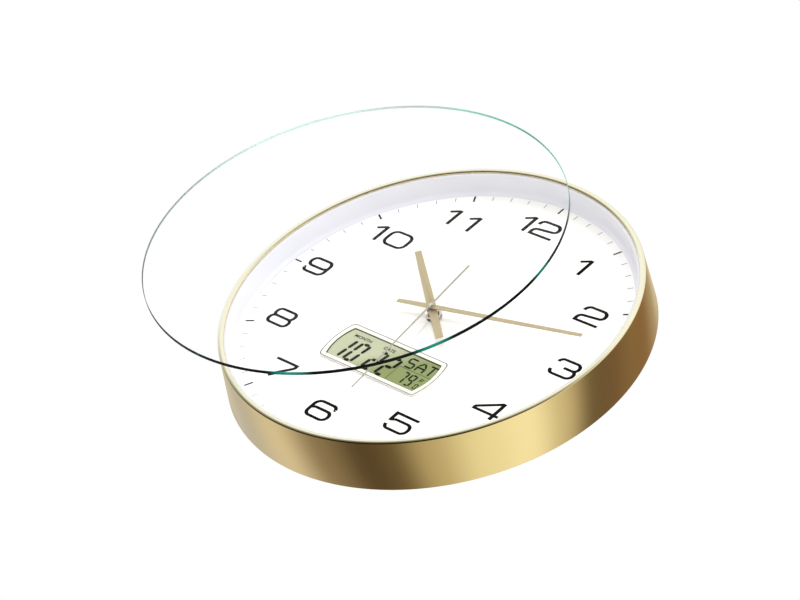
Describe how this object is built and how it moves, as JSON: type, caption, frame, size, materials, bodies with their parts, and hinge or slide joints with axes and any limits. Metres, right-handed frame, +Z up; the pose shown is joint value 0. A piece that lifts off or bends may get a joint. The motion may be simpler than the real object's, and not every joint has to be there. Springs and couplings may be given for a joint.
{
  "type": "wall clock",
  "caption": "Round battery wall clock with gold rim, analogue hands, small LCD calendar window and a flat glass that lifts off the front, hung on a nail.",
  "frame": {"origin": "Axis of the nail that holds the clock, at the top of the hanger's keyhole slot, on the wall plane.", "axes": "+Z up toward 12 o'clock, +X toward 3 o'clock, -Y out of the dial toward the viewer; the wall is y = 0."},
  "size_m": [0.3039, 0.121, 0.3375],
  "materials": {
    "gold_aluminium": "satin gold anodised",
    "hand_gold": "satin gold lacquer",
    "clear_glass": "clear",
    "white_plastic": "smooth moulded",
    "white_print": "printed white",
    "black_plastic": "fine moulded texture",
    "grey_plastic": "moulded",
    "zinc_steel": "zinc plated",
    "chrome": "polished",
    "brass": "turned",
    "lcd_glass": "liquid crystal display",
    "board_green": "solder mask",
    "rubber": "moulded",
    "gear_plastic": "natural acetal",
    "copper_wire": "enamelled copper wire",
    "magnet": "coated magnet",
    "battery_sleeve": "printed sleeve"
  },
  "bodies": {
    "clock_case": {"rim": "gold_aluminium", "reflector_ring": "white_plastic", "dial_plate": "white_print", "back_cover": "black_plastic", "hanger_plate": "zinc_steel", "hanger_screw_left": "zinc_steel", "hanger_screw_right": "zinc_steel", "lcd_bezel": "white_plastic", "lcd_panel": "lcd_glass", "zebra_strip": "rubber", "lcd_board": "board_green", "lcd_housing": "black_plastic", "coin_cell": "zinc_steel", "cell_clip": "zinc_steel", "housing_screw_left": "zinc_steel", "housing_screw_right": "zinc_steel", "movement_case": "black_plastic", "movement_cover": "black_plastic", "rubber_washer": "rubber", "movement_washer": "zinc_steel", "movement_nut": "chrome", "stator": "zinc_steel", "coil": "copper_wire", "circuit_board": "board_green", "battery": "battery_sleeve", "contact_positive": "zinc_steel", "contact_negative": "zinc_steel", "back_screw_1": "zinc_steel", "back_screw_2": "zinc_steel", "back_screw_3": "zinc_steel", "back_screw_4": "zinc_steel", "back_screw_5": "zinc_steel", "back_screw_6": "zinc_steel", "tact_switch_set": "grey_plastic", "tact_switch_up": "grey_plastic", "tact_switch_down": "grey_plastic"},
    "glass": {"glass_lens": "clear_glass"},
    "second_train": {"second_wheel": "gear_plastic", "second_collet": "chrome", "second_hand": "hand_gold"},
    "rotor": {"rotor": "magnet"},
    "intermediate": {"intermediate_wheel": "gear_plastic"},
    "third": {"third_wheel": "gear_plastic"},
    "centre": {"centre_wheel": "gear_plastic"},
    "minute": {"minute_pipe": "brass", "minute_collet": "chrome", "minute_hand": "hand_gold"},
    "motion": {"motion_wheel": "gear_plastic", "setting_knob": "grey_plastic"},
    "hour": {"hour_wheel": "gear_plastic", "hour_collet": "chrome", "hour_hand": "hand_gold"},
    "set_button": {"button_set": "grey_plastic"},
    "up_button": {"button_up": "grey_plastic"},
    "down_button": {"button_down": "grey_plastic"}
  },
  "joints": [
    {"name": "glass_fit", "type": "slide", "parent": "clock_case", "child": "glass", "axis": [0.0892, 0.8885, 0.4502], "range_m": [0, 0.0919]},
    {"name": "second_turn", "type": "hinge", "parent": "clock_case", "child": "second_train", "pos_m": [0, -0.012, -0.108], "axis": [0, 1, 0], "continuous": true},
    {"name": "rotor_turn", "type": "hinge", "parent": "clock_case", "child": "rotor", "pos_m": [0.0038, -0.012, -0.09277], "axis": [0, 1, 0], "continuous": true},
    {"name": "intermediate_turn", "type": "hinge", "parent": "clock_case", "child": "intermediate", "pos_m": [0.00497, -0.012, -0.09939], "axis": [0, 1, 0], "continuous": true},
    {"name": "third_turn", "type": "hinge", "parent": "clock_case", "child": "third", "pos_m": [-0.01008, -0.012, -0.108], "axis": [0, 1, 0], "continuous": true},
    {"name": "centre_turn", "type": "hinge", "parent": "clock_case", "child": "centre", "pos_m": [0, -0.012, -0.108], "axis": [0, 1, 0], "continuous": true},
    {"name": "minute_turn", "type": "hinge", "parent": "clock_case", "child": "minute", "pos_m": [0, -0.012, -0.108], "axis": [0, 1, 0], "continuous": true},
    {"name": "motion_turn", "type": "hinge", "parent": "clock_case", "child": "motion", "pos_m": [0.01056, -0.012, -0.108], "axis": [0, 1, 0], "continuous": true},
    {"name": "hour_turn", "type": "hinge", "parent": "clock_case", "child": "hour", "pos_m": [0, -0.012, -0.108], "axis": [0, 1, 0], "continuous": true},
    {"name": "set_press", "type": "slide", "parent": "clock_case", "child": "set_button", "axis": [0, -1, 0], "range_m": [0, 0.0008], "stiffness_N_per_m": 400, "springref_m": -0.001},
    {"name": "up_press", "type": "slide", "parent": "clock_case", "child": "up_button", "axis": [0, -1, 0], "range_m": [0, 0.0008], "stiffness_N_per_m": 400, "springref_m": -0.001},
    {"name": "down_press", "type": "slide", "parent": "clock_case", "child": "down_button", "axis": [0, -1, 0], "range_m": [0, 0.0008], "stiffness_N_per_m": 400, "springref_m": -0.001}
  ],
  "couplings": [
    {"joint": "rotor_turn", "follows": "second_turn", "ratio": 30},
    {"joint": "intermediate_turn", "follows": "second_turn", "ratio": -6},
    {"joint": "third_turn", "follows": "second_turn", "ratio": -0.13333},
    {"joint": "centre_turn", "follows": "second_turn", "ratio": 0.016667},
    {"joint": "motion_turn", "follows": "minute_turn", "ratio": -0.33333},
    {"joint": "hour_turn", "follows": "minute_turn", "ratio": 0.083333}
  ]
}
